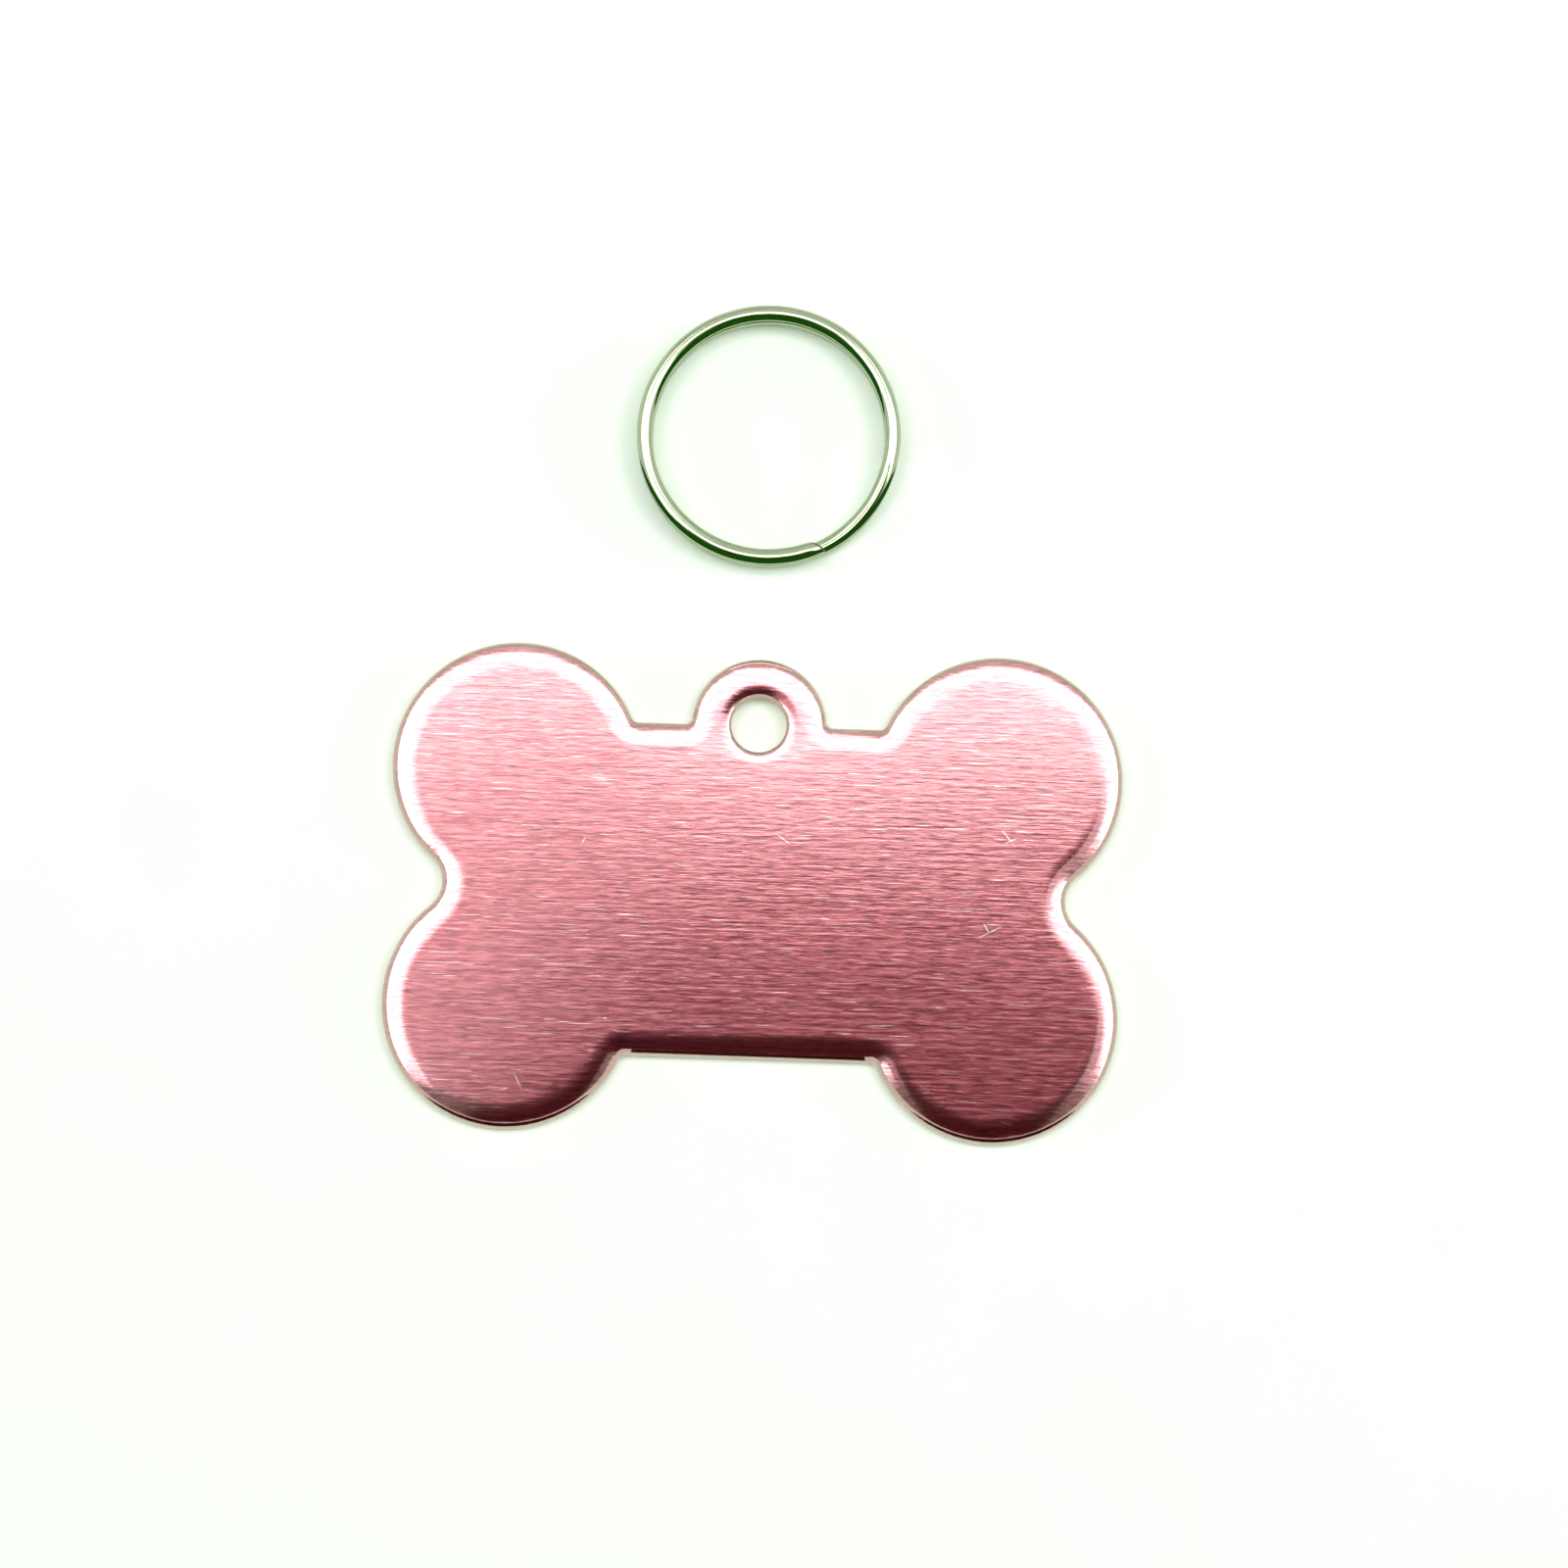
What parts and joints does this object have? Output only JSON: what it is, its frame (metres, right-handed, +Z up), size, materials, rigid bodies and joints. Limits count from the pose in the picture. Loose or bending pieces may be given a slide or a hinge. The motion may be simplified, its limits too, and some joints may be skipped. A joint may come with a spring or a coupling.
{
  "type": "pet identity tag",
  "caption": "Bone-shaped pet identity tag of brushed, anodised aluminium sheet with a pressed rim and a hanging hole, and the loose steel split ring that hangs it from a collar.",
  "frame": {"origin": "on the axis of the hanging hole, in the plane of the tag's back", "axes": "+Z up out of the tag's front face, +X to the right along the bone, +Y from the bone towards its hanging ear and the loose ring"},
  "size_m": [0.039, 0.0447, 0.0018],
  "materials": {
    "anodised_tag": "rose-pink anodised, brushed along the bone",
    "ring_wire": "bright nickel-plated spring wire"
  },
  "bodies": {
    "tag": {"tag_plate": "anodised_tag"},
    "ring": {"split_ring": "ring_wire"}
  },
  "joints": [
    {"name": "ring_lift", "type": "slide", "parent": "tag", "child": "ring", "axis": [0, 0, 1], "range_m": [0, 0.03]}
  ]
}
